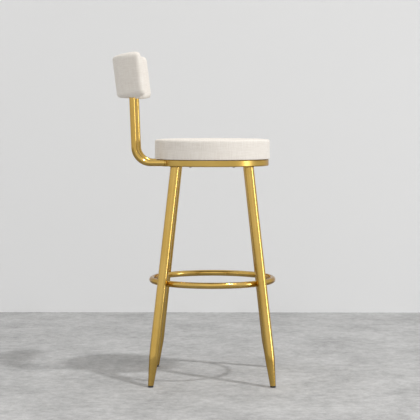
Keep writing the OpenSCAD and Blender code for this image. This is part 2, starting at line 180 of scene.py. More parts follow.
def goldPaint(name, s, rubbedTop=False, unevenness="peel"):
    material, tree, shader = newMaterial(name, metal=1.0, tint=s["edge"], coat=s["coat"],
                                         coatRough=s["coatRough"], coatIor=s["coatIor"])
    place = objectPlace(tree)
    cloudy = noiseOn(tree, place, *s["clouds"])
    fine = noiseOn(tree, place, *s["fine"])
    colour = mixColour(tree, span(tree, cloudy, *wideRange, 0, 1), s["deep"], s["colour"])
    rough = calc(tree, "ADD", span(tree, cloudy, *wideRange, s["rough"] + s["roughSpread"], s["rough"]),
                 span(tree, fine, *narrowRange, -s["fineSpread"], s["fineSpread"]))
    if rubbedTop:  # shoes polish the top of the footrest
        up = parts(tree, add(tree, "ShaderNodeNewGeometry").outputs["Normal"])["Z"]
        patches = span(tree, noiseOn(tree, place, *s["patches"]), *s["patchRange"], 0, s["rubbedMost"])
        rubbed = calc(tree, "MULTIPLY", span(tree, up, *s["rubbedFacing"], 0, 1, True), patches, clamp=True)
        colour = mixColour(tree, rubbed, colour, s["rubbed"])
        rough = calc(tree, "ADD", rough, calc(tree, "MULTIPLY", rubbed, s["rubbedRough"]))
    scale, depth = s[unevenness]
    finish(tree, shader, colour, rough, bumpFrom(tree, noiseOn(tree, place, scale, 2), s["bump"], depth))
    return material


gold = goldPaint("goldPaint", goldSettings)
footrestGold = goldPaint("footrestGoldPaint", goldSettings, rubbedTop=True)
ringGold = goldPaint("ringGoldPaint", ringSettings)
weldGold = goldPaint("weldGoldPaint", goldSettings, unevenness="lumps")
paint(["seat_ring"], ringGold)
paint(["cross_tube_full", "cross_tube_half_front", "cross_tube_half_rear", "leg_front_left",
       "leg_front_right", "leg_rear_left", "leg_rear_right", "back_post_left", "back_post_right"], gold)
paint(["leg_welds", "footrest_welds", "post_welds"], weldGold)
paint(["footrest_ring"], footrestGold)
print("gold frame painted")

# Off-white linen. Its threads follow the piece's own map, in metres along the cloth.

linenSettings = {
    "colour": (0.88, 0.833, 0.772, 1), "dark": (0.70, 0.645, 0.58, 1), "light": (0.935, 0.90, 0.85, 1),
    "evenShare": 0.5, "rough": 0.92, "sheen": 0.25, "sheenTint": (1, 0.98, 0.94, 1),
    "thread": 0.0008, "overTone": 0.14,  # a thread's width, and how its top and its side differ in tone
    "wander": 90, "wanderBy": 0.0011,  # the threads don't run quite straight
    "slubLength": 0.045, "slubWidth": 3.2,  # a thick place's length in metres, and its width in threads
    "slubNoise": (1, 3, 0.6), "slubRange": (0.75, 1.25), "slubRise": 1.2,
    "blotches": (28, 4, 0.6), "blotchShare": 0.12, "bump": (0.55, 0.00025),
}


def linenCloth(name, s):
    material, tree, shader = newMaterial(name, specular=0.2, sheen=s["sheen"], sheenRough=0.5,
                                         sheenTint=s["sheenTint"])
    cloth = add(tree, "ShaderNodeUVMap", uv_map="weave").outputs[0]
    values = {"Vector": cloth, "Scale": s["wander"], "Detail": 2}
    wander = vectorCalc(tree, "SCALE", {0: add(tree, "ShaderNodeTexNoise", values).outputs["Color"],
                                        3: s["wanderBy"]})
    place = vectorCalc(tree, "ADD", {0: cloth, 1: wander})
    across, along = parts(tree, place)["X"], parts(tree, place)["Y"]
    turns = math.pi / s["thread"]
    warp = calc(tree, "SINE", calc(tree, "MULTIPLY", across, turns))
    weft = calc(tree, "SINE", calc(tree, "MULTIPLY", along, turns))
    over = calc(tree, "MULTIPLY", warp, weft)  # which thread lies on top
    thick, thin = 1 / s["slubLength"], 1 / (s["slubWidth"] * s["thread"])
    slubWarp = noiseOn(tree, stretched(tree, place, (thin, thick, 1)), *s["slubNoise"])
    slubWeft = noiseOn(tree, stretched(tree, place, (thick, thin, 1), shift=(7, 3, 0)), *s["slubNoise"])
    slubs = calc(tree, "ADD", slubWarp, slubWeft)
    tone = calc(tree, "ADD", span(tree, slubs, *s["slubRange"], 0, 1),
                span(tree, over, -1, 1, -s["overTone"], s["overTone"]), clamp=True)
    colour = mixColour(tree, s["evenShare"], mixColour(tree, tone, s["dark"], s["light"]), s["colour"])
    blotches = span(tree, noiseOn(tree, cloth, *s["blotches"]), *narrowRange, 0, s["blotchShare"])
    colour = mixColour(tree, blotches, colour, s["dark"])
    threads = calc(tree, "ADD", calc(tree, "ABSOLUTE", over), calc(tree, "MULTIPLY", slubs, s["slubRise"]))
    finish(tree, shader, colour, s["rough"], bumpFrom(tree, threads, *s["bump"]))
    return material


threadSettings = {
    "colour": linenSettings["colour"], "dark": linenSettings["dark"], "rough": linenSettings["rough"],
    "twist": (700, 2600, 900), "bump": (0.4, 0.0002),
}


def threadCloth(s):
    # a twisted thread, a shade darker than the linen
    material, tree, shader = newMaterial("sewingThread", specular=0.2, sheen=0.2)
    twist = noiseOn(tree, stretched(tree, objectPlace(tree), s["twist"]), 1, 3, 0.6)
    colour = mixColour(tree, span(tree, twist, *narrowRange, 0, 1), s["dark"], s["colour"])
    finish(tree, shader, colour, s["rough"], bumpFrom(tree, twist, *s["bump"]))
    return material


linen = linenCloth("linenCloth", linenSettings)
thread = threadCloth(threadSettings)

# What lies inside and below: foam, plywood, zinc, dust cover and glides

foamSettings = {
    "colour": (0.93, 0.88, 0.68, 1), "poreShade": (0.70, 0.63, 0.42, 1), "cells": 900, "poreRange": (0.1, 0.45),
    "rough": 0.95, "bump": (0.6, 0.0004),
}
woodSettings = {
    "pale": (0.80, 0.63, 0.41, 1), "dark": (0.56, 0.38, 0.21, 1), "rough": 0.72, "bump": (0.3, 0.0003),
    "ply": 0.0015, "glueRange": (0.42, 0.58), "glueShare": 0.55,
    "grain": (30, 260, 260), "grainRange": (0.35, 0.7), "grainShare": 0.65,
}
zincSettings = {
    "bright": (0.74, 0.75, 0.76, 1), "dull": (0.52, 0.54, 0.55, 1), "rough": (0.22, 0.44),
    "spangles": 160, "spangleShare": 0.4, "toneRange": (0.3, 1.1), "scratch": (1200, 1200, 90),
    "bump": (0.15, 0.0001),
}
dustSettings = {
    "colour": (0.035, 0.035, 0.037, 1), "raised": (0.075, 0.075, 0.078, 1), "rough": 0.85, "sheen": 0.3,
    "dots": 520, "dotStray": 0.12, "dotRange": (0.18, 0.36), "fibre": (260, 1500, 1), "bump": (0.5, 0.0002),
}
glideSettings = {
    "colour": (0.022, 0.022, 0.023, 1), "scuffed": (0.10, 0.10, 0.10, 1), "rough": (0.42, 0.56),
    "grain": 1600, "scuffs": (420, 420, 60), "scuffRange": (0.5, 0.62), "scuffTo": 0.004, "scuffMost": 0.7,
    "bump": (0.3, 0.0001),
}


def foamBlock(s):
    material, tree, shader = newMaterial("cushionFoam", specular=0.1)
    place = objectPlace(tree)
    cells = add(tree, "ShaderNodeTexVoronoi", {"Vector": place, "Scale": s["cells"]}).outputs["Distance"]
    pores = span(tree, cells, *s["poreRange"], 0, 1)
    # the pores are painted darker: painted shade in the foam's holes
    colour = mixColour(tree, pores, s["poreShade"], s["colour"])
    finish(tree, shader, colour, s["rough"], bumpFrom(tree, pores, *s["bump"]))
    return material


def plywood(name, s, depth):
    # depth gives how far a point lies through the board's plies, in metres
    material, tree, shader = newMaterial(name, specular=0.3)
    place = objectPlace(tree)
    layer = calc(tree, "PINGPONG", calc(tree, "DIVIDE", depth(tree, place), s["ply"]), 1.0)
    grain = noiseOn(tree, stretched(tree, place, s["grain"]), 1, 5, 0.65)
    glue = calc(tree, "MULTIPLY", span(tree, layer, *s["glueRange"], 0, 1, True), s["glueShare"])
    colour = mixColour(tree, span(tree, grain, *s["grainRange"], 0, s["grainShare"]), s["pale"], s["dark"])
    colour = mixColour(tree, glue, colour, s["dark"])
    finish(tree, shader, colour, s["rough"], bumpFrom(tree, grain, *s["bump"]))
    return material


def zincPlate(s):
    material, tree, shader = newMaterial("zincPlate", metal=1.0)
    place = objectPlace(tree)
    values = {"Vector": place, "Scale": s["spangles"]}
    spangle = parts(tree, add(tree, "ShaderNodeTexVoronoi", values).outputs["Color"])["X"]
    tone = calc(tree, "ADD", calc(tree, "MULTIPLY", spangle, s["spangleShare"]), noiseOn(tree, place, 40, 4))
    scratch = noiseOn(tree, stretched(tree, place, s["scratch"]), 1, 2)
    colour = mixColour(tree, span(tree, tone, *s["toneRange"], 0, 1), s["bright"], s["dull"])
    finish(tree, shader, colour, span(tree, tone, *s["toneRange"], *s["rough"]),
           bumpFrom(tree, scratch, *s["bump"]))
    return material


def dustCloth(s):
    material, tree, shader = newMaterial("dustCloth", specular=0.2, sheen=s["sheen"], sheenRough=0.6)
    place = objectPlace(tree)
    values = {"Vector": stretched(tree, place, (1, 1, 0)), "Scale": s["dots"], "Randomness": s["dotStray"]}
    dots = add(tree, "ShaderNodeTexVoronoi", values).outputs["Distance"]
    pressed = span(tree, dots, *s["dotRange"], 0, 1, True)
    fibre = noiseOn(tree, stretched(tree, place, s["fibre"]), 1, 4, 0.7)
    colour = mixColour(tree, calc(tree, "MULTIPLY", pressed, fibre), s["colour"], s["raised"])
    finish(tree, shader, colour, s["rough"], bumpFrom(tree, calc(tree, "ADD", pressed, fibre), *s["bump"]))
    return material


def glidePlastic(s):
    material, tree, shader = newMaterial("glidePlastic", specular=0.45)
    place = objectPlace(tree)
    grain = noiseOn(tree, place, s["grain"], 2, 0.6)
    scuffs = noiseOn(tree, stretched(tree, place, s["scuffs"]), 1, 4, 0.7)
    low = span(tree, parts(tree, place)["Z"], 0.0, s["scuffTo"], s["scuffMost"], 0)
    worn = calc(tree, "MULTIPLY", low, span(tree, scuffs, *s["scuffRange"], 0, 1), clamp=True)
    finish(tree, shader, mixColour(tree, worn, s["colour"], s["scuffed"]),
           span(tree, grain, *wideRange, *s["rough"]), bumpFrom(tree, grain, *s["bump"]))
    return material


foam = foamBlock(foamSettings)
zinc = zincPlate(zincSettings)
paint(["seat_foam", "back_foam_front", "back_foam_rear"], foam)
paint(["seat_t_nuts", "seat_bolts", "seat_washers", "back_screws", "post_plate_left", "post_plate_right"], zinc)
paint(["seat_dust_cover"], dustCloth(dustSettings))
paint(["foot_glide_front_left", "foot_glide_front_right", "foot_glide_rear_left", "foot_glide_rear_right"],
      glidePlastic(glideSettings))
paint(["seat_board"], plywood("seatPlywood", woodSettings, lambda tree, place: parts(tree, place)["Z"]))
print("inner and lower materials made")

# Shapes of the two padded pieces, as distances in metres from their outer faces


def rounded(a, b, radius):
    # two faces met by a rounded edge
    pastA, pastB = np.maximum(a + radius, 0), np.maximum(b + radius, 0)
    return np.hypot(pastA, pastB) - radius + np.minimum(np.maximum(a, b) + radius, 0)


def slopeOf(distance, points, step=0.0002):
    # the way straight out of the shape, at each point
    slope = np.empty_like(points)
    for axis in range(3):
        shift = np.zeros(3)
        shift[axis] = step
        slope[:, axis] = distance(points + shift) - distance(points - shift)
    return slope / np.maximum(np.linalg.norm(slope, axis=1, keepdims=True), 1e-12)


def settle(points, distance, level, rounds, stride=0.9):
    # moves the points to where the distance is the level
    for _ in range(rounds):
        points = points - (distance(points) - level)[:, None] * slopeOf(distance, points) * stride
    return points


def crowded(steps, share):
    # moves steps between -1 and 1 towards both ends
    return (1 - share) * steps + share * np.sin(steps * math.pi / 2)


def latticeBlock(counts, place):
    # the outer faces of a block of small boxes, counts of them each way. Place moves its points from -1 to 1.
    steps = [np.linspace(-1, 1, count + 1) for count in counts]
    grid = np.stack(np.meshgrid(*steps, indexing="ij"), axis=-1)
    index = np.arange(grid[..., 0].size).reshape(grid.shape[:3])
    faces = []
    for axis in range(3):
        for side in (0, -1):
            flat = np.take(index, side, axis=axis)
            flat = flat.T if (axis == 1) == (side == 0) else flat  # so that the faces point outwards
            quads = np.stack([flat[:-1, :-1], flat[:-1, 1:], flat[1:, 1:], flat[1:, :-1]], axis=-1)
            faces.append(quads.reshape(-1, 4))
    used, faces = np.unique(np.vstack(faces), return_inverse=True)
    data = bpy.data.meshes.new("block")
    data.from_pydata(place(grid.reshape(-1, 3)[used]), [], faces.reshape(-1, 4))
    return data


def addPiece(name, data, material):
    data.materials.clear()
    data.materials.append(material)
    data.shade_smooth()
    piece = bpy.data.objects.new(name, data)
    scene.collection.objects.link(piece)
    return piece


def baked(piece):
    # replaces the piece's mesh by what its modifiers make, and removes them
    solved = piece.evaluated_get(bpy.context.evaluated_depsgraph_get())
    piece.data = bpy.data.meshes.new_from_object(solved)
    piece.modifiers.clear()


def pointsOf(piece):
    flat = np.empty(len(piece.data.vertices) * 3)
    piece.data.vertices.foreach_get("co", flat)
    return flat.reshape(-1, 3)


def movePoints(piece, points):
    piece.data.vertices.foreach_set("co", points.ravel())
    piece.data.update()


def inflated(piece, s, fixed, frames=20):
    # where the points lie once Blender's cloth has swollen under pressure for that many frames
    group = piece.vertex_groups.new(name="held")
    group.add([int(i) for i in np.flatnonzero(fixed)], 1.0, "REPLACE")
    modifier = piece.modifiers.new("cloth", "CLOTH")
    modifier.settings.vertex_group_mass = "held"
    modifier.settings.use_pressure = True
    modifier.settings.uniform_pressure_force = s["pressure"]
    modifier.settings.effector_weights.gravity = 0
    modifier.settings.tension_stiffness = s["stiffness"]
    modifier.settings.compression_stiffness = s["stiffness"]
    modifier.collision_settings.use_collision = False
    modifier.point_cache.frame_end = frames
    for step in range(1, frames + 1):
        scene.frame_set(step)
    swollen = piece.evaluated_get(bpy.context.evaluated_depsgraph_get()).to_mesh()
    after = np.empty(len(swollen.vertices) * 3)
    swollen.vertices.foreach_get("co", after)
    piece.modifiers.clear()
    piece.vertex_groups.clear()
    scene.frame_set(1)
    return after.reshape(-1, 3)


def puffed(piece, s, distance, held):
    # the cloth swells under pressure, never further than the cap, and the foam keeps it from moving inwards
    before = pointsOf(piece)
    fixed = held(before)
    outward = slopeOf(distance, before)
    push = np.maximum(((inflated(piece, s, fixed) - before) * outward).sum(axis=1), 0)
    push = s["cap"] * np.tanh(push / s["cap"])
    ends = np.empty(len(piece.data.edges) * 2, dtype=np.int64)
    piece.data.edges.foreach_get("vertices", ends)
    neighbours = np.bincount(ends, minlength=len(before))
    first, second = ends.reshape(-1, 2).T
    for _ in range(s["calm"]):  # evens the swelling out from point to point
        total = np.bincount(first, push[second], len(push)) + np.bincount(second, push[first], len(push))
        push = np.where(fixed, 0, (push + total / neighbours) / 2)
    print(piece.name, "swells by", round(float(push.max()) / mm, 2), "mm at most")
    movePoints(piece, before + outward * push[:, None])


def subdivided(piece):
    modifier = piece.modifiers.new("smooth", "SUBSURF")
    modifier.levels = modifier.render_levels = 1
    baked(piece)
    piece.data.shade_smooth()


def unevened(points, s, distance, share=1.0):
    rise = softNoise(points, s["unevenSize"], s["seed"]) * s["unevenness"] * share
    return points + slopeOf(distance, points) * rise[:, None]


def cutOut(piece, form, place):
    # takes a bmesh form's space, moved by place, out of the piece
    data = bpy.data.meshes.new("cutter")
    bmesh.ops.recalc_face_normals(form, faces=form.faces)
    form.to_mesh(data)
    form.free()
    data.vertices.foreach_set("co", place(np.array([v.co for v in data.vertices])).ravel())
    cutter = bpy.data.objects.new("cutter", data)
    scene.collection.objects.link(cutter)
    modifier = piece.modifiers.new("cut", "BOOLEAN")
    modifier.operation, modifier.solver, modifier.object = "DIFFERENCE", "EXACT", cutter
    baked(piece)
    bpy.data.objects.remove(cutter)
    bpy.data.meshes.remove(data)


def spunForm(outline, steps, turn=2 * math.pi):
    # sweeps an outline of (radius, height) points round the Z axis, from -turn / 2 to turn / 2
    form = bmesh.new()
    whole = turn == 2 * math.pi
    angles = [turn * (i / steps - 0.5) for i in range(steps if whole else steps + 1)]
    rows = [[form.verts.new((r * math.cos(a), r * math.sin(a), z)) for r, z in outline] for a in angles]
    pairs = zip(rows, rows[1:] + rows[:1] if whole else rows[1:])
    for row, after in pairs:
        for i in range(len(outline)):
            j = (i + 1) % len(outline)
            form.faces.new((row[i], row[j], after[j], after[i]))
    if not whole:
        form.faces.new(rows[0])
        form.faces.new(rows[-1])
    return form


def mapCloth(piece, place):
    # gives every corner its place on the flat cloth
    layer = piece.data.uv_layers.new(name="weave")
    corners = np.empty(len(piece.data.loops), dtype=np.int64)
    piece.data.loops.foreach_get("vertex_index", corners)
    normals = np.empty(len(piece.data.vertices) * 3)
    piece.data.vertices.foreach_get("normal", normals)
    flat = place(pointsOf(piece), normals.reshape(-1, 3))
    layer.data.foreach_set("uv", flat[corners].ravel())


def softNoise(points, size, seed, waves=24):
    # smooth unevenness between -1 and 1, from waves in seeded directions
    rng = np.random.default_rng(seed)
    total = np.zeros(len(points))
    for _ in range(waves):
        wave = rng.normal(size=3) * 2 * math.pi / size
        total += np.sin(points @ wave + rng.uniform(0, 2 * math.pi))
    return np.clip(total / (waves / 3), -1, 1)


# Seat cushion: foam on its board, under one cloth pulled down over the edge

coverLow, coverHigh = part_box("seat_cover")

seatCushion = {
    "radius": (coverHigh.y - coverLow.y) / 2, "top": coverHigh.z, "base": coverLow.z,
    "crown": 0.0016, "topEdge": 0.0075, "baseEdge": 0.0024, "counts": (56, 56, 20), "crowding": 0.4,
    "bandFacing": 0.6, "bandFrom": 0.9,  # the side band's cloth: its steepness, and its share of the radius
    "boardTop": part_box("seat_board")[1].z, "boardRadius": 0.1787, "opening": 0.150, "clothThick": 0.001,
    "slack": 0.0003, "pressure": 0.3, "stiffness": 40, "cap": 0.0022, "calm": 12, "freeOver": 0.008,
    "pleats": 44, "pleatDepth": 0.0005, "pleatHeight": 0.012,
    "pleatStray": 0.06, "pleatShares": (0.2, 1), "pleatTurns": (0.010, 0.022),  # least and most
    "unevenness": 0.0004, "unevenSize": 0.09, "seed": 11,
}


def seatDistance(points):
    s = seatCushion
    radius = np.hypot(points[:, 0] - seatX, points[:, 1])
    side = radius - s["radius"]
    top = points[:, 2] - s["top"] + s["crown"] * np.clip(radius / s["radius"], 0, 1) ** 2
    base = s["base"] + 0.0001 - points[:, 2]  # just clear of the ring
    return np.where(points[:, 2] > (s["base"] + s["top"]) / 2, rounded(side, top, s["topEdge"]),
                    rounded(side, base, s["baseEdge"]))


def seatStart(points):
    # a block's points on a drum: squares become rings, closer together near its edges
    s = seatCushion
    x, y, z = points.T
    spread = np.maximum(np.abs(x), np.abs(y))
    wide = np.abs(x) >= np.abs(y)
    share = np.where(wide, y, x) / np.where(wide, np.where(x == 0, 1, x), np.where(y == 0, 1, y))
    angle = share * math.pi / 4
    radius = np.where(wide, np.sign(x), np.sign(y)) * crowded(spread, s["crowding"]) * s["radius"]
    across, aside = radius * np.cos(angle), radius * np.sin(angle)
    height = s["base"] + (1 + crowded(z, 1)) / 2 * (s["top"] - s["base"])
    return np.stack([seatX + np.where(wide, across, aside), np.where(wide, aside, across), height], axis=1)


def seatFree(points):
    # the cloth is held round the board, and comes free above it
    return np.clip((points[:, 2] - seatCushion["boardTop"]) / seatCushion["freeOver"], 0, 1)


def seatPleats(points):
    # the pulled cloth gathers into small folds just above the ring
    s = seatCushion
    rng = np.random.default_rng(s["seed"])
    angle = np.arctan2(points[:, 1], points[:, 0] - seatX)
    radius = np.hypot(points[:, 0] - seatX, points[:, 1])
    rise = points[:, 2] - s["base"]
    move = np.zeros(len(points))
    for place in np.linspace(-math.pi, math.pi, s["pleats"], endpoint=False):
        place += rng.uniform(-s["pleatStray"], s["pleatStray"])
        depth, width = rng.uniform(*s["pleatShares"]), rng.uniform(*s["pleatTurns"])
        gap = (angle - place + math.pi) % (2 * math.pi) - math.pi
        height = s["pleatHeight"] * (0.5 + depth)  # a deep pleat is a high one
        move -= depth * np.exp(-(gap / width) ** 2) * np.exp(-(rise / height) ** 2)
    move *= s["pleatDepth"] * (radius > s["radius"] * 0.99)  # on the side alone
    outward = np.stack([np.cos(angle), np.sin(angle), np.zeros(len(points))], axis=1)
    return points + outward * move[:, None]


def seatCloth(points, normals):
    # a round top, and round the side a band whose threads run straight up
    s = seatCushion
    across, along = points[:, 0] - seatX, points[:, 1]
    radius = np.maximum(np.hypot(across, along), 1e-6)
    band = (np.abs(normals[:, 2]) < s["bandFacing"]) & (radius > s["bandFrom"] * s["radius"])
    around = np.arctan2(along, across) * s["radius"]
    return np.where(band[:, None], np.stack([around, points[:, 2]], axis=1), np.stack([across, along], axis=1))


def seatPocket(piece, s):
    # the board's place, and the opening that the cloth leaves under it
    under, low, high = s["base"] - 0.01, s["base"] + s["clothThick"], s["boardTop"] + 0.0002
    opening, board = s["opening"], s["boardRadius"]
    form = spunForm([(0, under), (opening, under), (opening, low), (board, low), (board, high), (0, high)], 180)
    bmesh.ops.remove_doubles(form, verts=form.verts, dist=1e-6)
    cutOut(piece, form, lambda points: points + (seatX, 0, 0))


def makeSeatCushion(s):
    piece = addPiece("seatCushion", latticeBlock(s["counts"], seatStart), linen)
    for _ in range(4):
        points = pointsOf(piece)
        movePoints(piece, settle(points, seatDistance, -s["slack"] * seatFree(points), 1))
    puffed(piece, s, seatDistance, lambda points: seatFree(points) == 0)
    subdivided(piece)
    points = pointsOf(piece)
    movePoints(piece, seatPleats(unevened(points, s, seatDistance, seatFree(points))))
    seatPocket(piece, s)
    mapCloth(piece, seatCloth)
    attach(piece, "root")
    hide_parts("seat_cover", "seat_foam")


makeSeatCushion(seatCushion)
print("seat cushion made")

# Back pad: a curved block on the two posts. Its shape is worked out in a frame that leans back with it: forward,
# sideways and up from where the posts bend inside it.

backPad = {
    "origin": (seatX - 0.24522, 0.0, 0.892), "lean": 7.0, "width": 0.3885, "thick": 0.0700,
    "rearRadius": 0.2558, "frontRadius": 0.4598, "behindPosts": 0.0529, "top": 0.1224, "base": -0.0132,
    "baseTurn": 7.6, "endTurn": 32.7, "rearEnd": 0.0163, "frontEnd": 0.033,
    "topEdge": (0.0115, 0.0185), "baseEdge": (0.011, 0.021),  # in the middle and towards the ends
    "counts": (14, 84, 28), "crowding": (0.5, 0.4, 0.5), "inset": 0.004, "levelFacing": 0.75,
    "boardAxis": 0.197, "board": (0.2311, 0.2439, 0.0102, 0.1053), "boardTurn": 89.2,
    "channel": (-0.0195, 0.009, -0.006, 0.1015), "channelWidth": 0.0352, "plateFront": 0.0095,
    "postAside": 0.094, "postRadius": 0.0099, "postLean": 2.2, "postHole": (0.04, -0.022),
    "slack": 0.0003, "pressure": 0.8, "stiffness": 40, "cap": 0.0016, "calm": 12, "heldBelow": 0.004,
    "unevenness": 0.0005, "unevenSize": 0.08, "seed": 5,
}
padTurn = Matrix.Rotation(math.radians(-backPad["lean"]), 3, "Y")
padAxes = np.array(padTurn)  # columns: forward, sideways and up
padAxis = backPad["rearRadius"] - backPad["behindPosts"]  # where the rear face's curve is centred, forward
padEndForward = padAxis - math.sqrt(backPad["rearRadius"] ** 2 - backPad["width"] ** 2 / 4)


def toPad(points):
    return (points - np.array(backPad["origin"])) @ padAxes


def fromPad(points):
    return points @ padAxes.T + np.array(backPad["origin"])


def padDistance(points):
    s = backPad
    forward, aside, up = toPad(points).T
    aside = np.abs(aside)
    rear = np.hypot(forward - padAxis, aside) - s["rearRadius"]
    front = s["frontRadius"] - np.hypot(forward - s["frontRadius"] - s["thick"] + s["behindPosts"], aside)
    turn = math.radians(s["endTurn"])  # the end panels look a little forward
    end = (aside - s["width"] / 2) * math.cos(turn) + (forward - padEndForward) * math.sin(turn)
    outline = rounded(rounded(rear, end, s["rearEnd"]), front, s["frontEnd"])
    share = np.clip(aside / s["width"] * 5 - 1.25, 0, 1)  # from half of the way out to nine tenths of it
    share = share * share * (3 - 2 * share)
    topEdge, baseEdge = [middle + (ends - middle) * share for middle, ends in (s["topEdge"], s["baseEdge"])]
    slope = math.radians(s["baseTurn"])
    base = (s["base"] - up) * math.cos(slope) - forward * math.sin(slope)
    return rounded(rounded(outline, up - s["top"], topEdge), base, baseEdge)


def padFaces(aside):
    # how far forward the rear and front faces lie
    s = backPad
    rear = padAxis - np.sqrt(s["rearRadius"] ** 2 - aside ** 2)
    return rear, s["frontRadius"] + s["thick"] - s["behindPosts"] - np.sqrt(s["frontRadius"] ** 2 - aside ** 2)


def padStart(points):
    # a block's points on the pad's panels, closer together near its ends and edges
    s = backPad
    x, y, z = [crowded(steps, share) for steps, share in zip(points.T, s["crowding"])]
    aside = y * (s["width"] / 2 - s["inset"])
    rear, front = padFaces(aside)
    forward = rear + (1 + x) / 2 * (front - rear)
    base = s["base"] - forward * math.tan(math.radians(s["baseTurn"]))
    up = base + (1 + z) / 2 * (s["top"] - base)
    return fromPad(np.stack([forward, aside, up], axis=1))


def padCloth(points, normals):
    # the front and rear panels take the weave along the curve, and the ends and edges carry it round
    s = backPad
    forward, aside, up = toPad(points).T
    facing = normals @ padAxes
    along = s["rearRadius"] * np.arctan2(aside, padAxis - forward)
    level = np.abs(facing[:, 2]) > s["levelFacing"]
    return np.stack([along, np.where(level, up + forward * np.sign(facing[:, 2]), up)], axis=1)


def padPockets(piece, s):
    # the board's place, a channel for each post and its plate, and the posts' holes in the cloth below
    axis = s["boardAxis"]
    inner, outer, low, high = s["board"]
    outline = [(inner, low), (outer, low), (outer, high), (inner, high)]
    board = spunForm(outline, 96, math.radians(s["boardTurn"]))
    cutOut(piece, board, lambda points: fromPad((axis, 0, 0) + points * (-1, 1, 1)))
    near, far, low, high = s["channel"]
    face = math.hypot(axis, s["postAside"]) + s["plateFront"]  # from the curve's axis to the fronts of the plates
    long, middle = s["postHole"]
    for side in (-1, 1):
        turn = math.atan2(side * s["postAside"], -axis)
        box = bmesh.new()
        bmesh.ops.create_cube(box, size=1)
        bmesh.ops.transform(box, verts=box.verts, matrix=(
            Matrix.Translation((axis, 0, 0)) @ Matrix.Rotation(turn, 4, "Z")
            @ Matrix.Translation((face + (near + far) / 2, 0, (low + high) / 2))
            @ Matrix.Diagonal((far - near, s["channelWidth"], high - low, 1))))
        cutOut(piece, box, fromPad)
        bar = bmesh.new()
        bmesh.ops.create_cone(bar, cap_ends=True, segments=48, depth=long,
                              radius1=s["postRadius"], radius2=s["postRadius"])
        bmesh.ops.transform(bar, verts=bar.verts, matrix=(
            Matrix.Translation(Vector(s["origin"]) + Vector((0, side * s["postAside"], 0)))
            @ Matrix.Rotation(math.radians(-s["postLean"]), 4, "Y") @ Matrix.Translation((0, 0, middle))))
        cutOut(piece, bar, lambda points: points)


def makeBackPad(s):
    piece = addPiece("backPad", latticeBlock(s["counts"], padStart), linen)
    movePoints(piece, settle(pointsOf(piece), padDistance, -s["slack"], 8))
    puffed(piece, s, padDistance, lambda points: toPad(points)[:, 2] < s["base"] + s["heldBelow"])
    subdivided(piece)
    movePoints(piece, unevened(pointsOf(piece), s, padDistance))
    padPockets(piece, s)
    mapCloth(piece, padCloth)
    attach(piece, "root")
    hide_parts("back_cover", "back_foam_front", "back_foam_rear")


def boardDepth(tree, place):
    # how far a point lies from the axis of the curved board
    axis = Vector(backPad["origin"]) + padTurn @ Vector((backPad["boardAxis"], 0, 0))
    turned = stretched(tree, place, (1, 1, 1), turn=(0, math.radians(backPad["lean"]), 0),
                       shift=-(padTurn.transposed() @ axis))
    flat = vectorCalc(tree, "MULTIPLY", {0: turned, 1: (1, 1, 0)})
    return vectorCalc(tree, "LENGTH", {0: flat}, "Value")


paint(["back_board"], plywood("backPlywood", woodSettings, boardDepth))
makeBackPad(backPad)
print("back pad made")

# What repeats along a path: staples round the dust cover, and the stitches that close the pad below

stapleRow = {
    "radius": 0.1525, "height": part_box("seat_dust_cover")[0].z - 0.0002, "gap": 16, "steps": 24,
    "spacing": 0.031, "size": (0.0052, 0.00055, 0.0004), "seed": 3,
}
stitchRow = {
    "share": 0.42, "reach": 0.160, "clear": 0.0165, "below": 0.004, "sink": 0.0001, "steps": 40,
    "spacing": 0.0062, "size": (0.0022, 0.0007, 0.0006), "seed": 8,
}
stampInputs = {"Path": "Geometry", "Spacing": "Float", "Size": "Vector", "Seed": "Int", "Look": "Material"}
stampSkew = 0.09  # how far a stamp may turn out of line, in radians


def stampTree():
    # a small rounded bar at every step along the curves, turned to follow them
    tree = bpy.data.node_groups.new("stampAlong", "GeometryNodeTree")
    for name, kind in stampInputs.items():
        tree.interface.new_socket(name, in_out="INPUT", socket_type="NodeSocket" + kind)
    tree.interface.new_socket("Stamps", in_out="OUTPUT", socket_type="NodeSocketGeometry")
    given = tree.nodes.new("NodeGroupInput").outputs
    curve = add(tree, "GeometryNodeMeshToCurve", {"Mesh": given["Path"]}).outputs[0]
    curve = add(tree, "GeometryNodeResampleCurve", {"Curve": curve, "Length": given["Spacing"]},
                mode="LENGTH").outputs[0]
    tangent = add(tree, "GeometryNodeInputTangent").outputs[0]
    along = add(tree, "FunctionNodeAlignRotationToVector", {"Vector": tangent},
                axis="X", pivot_axis="Z").outputs[0]
    values = {0: (0, 0, -stampSkew), 1: (0, 0, stampSkew), "Seed": given["Seed"]}
    skew = add(tree, "FunctionNodeRandomValue", values, data_type="FLOAT_VECTOR").outputs[0]
    turned = add(tree, "FunctionNodeRotateRotation", {"Rotation": along, "Rotate By": skew},
                 rotation_space="LOCAL").outputs[0]
    bar = add(tree, "GeometryNodeMeshUVSphere", {"Segments": 8, "Rings": 5, "Radius": 1.0}).outputs["Mesh"]
    values = {"Points": curve, "Instance": bar, "Rotation": turned, "Scale": given["Size"]}
    bars = add(tree, "GeometryNodeInstanceOnPoints", values).outputs[0]
    solid = add(tree, "GeometryNodeRealizeInstances", {0: bars}).outputs[0]
    solid = add(tree, "GeometryNodeSetMaterial", {"Geometry": solid, "Material": given["Look"]}).outputs[0]
    tree.links.new(solid, tree.nodes.new("NodeGroupOutput").inputs[0])
    return tree


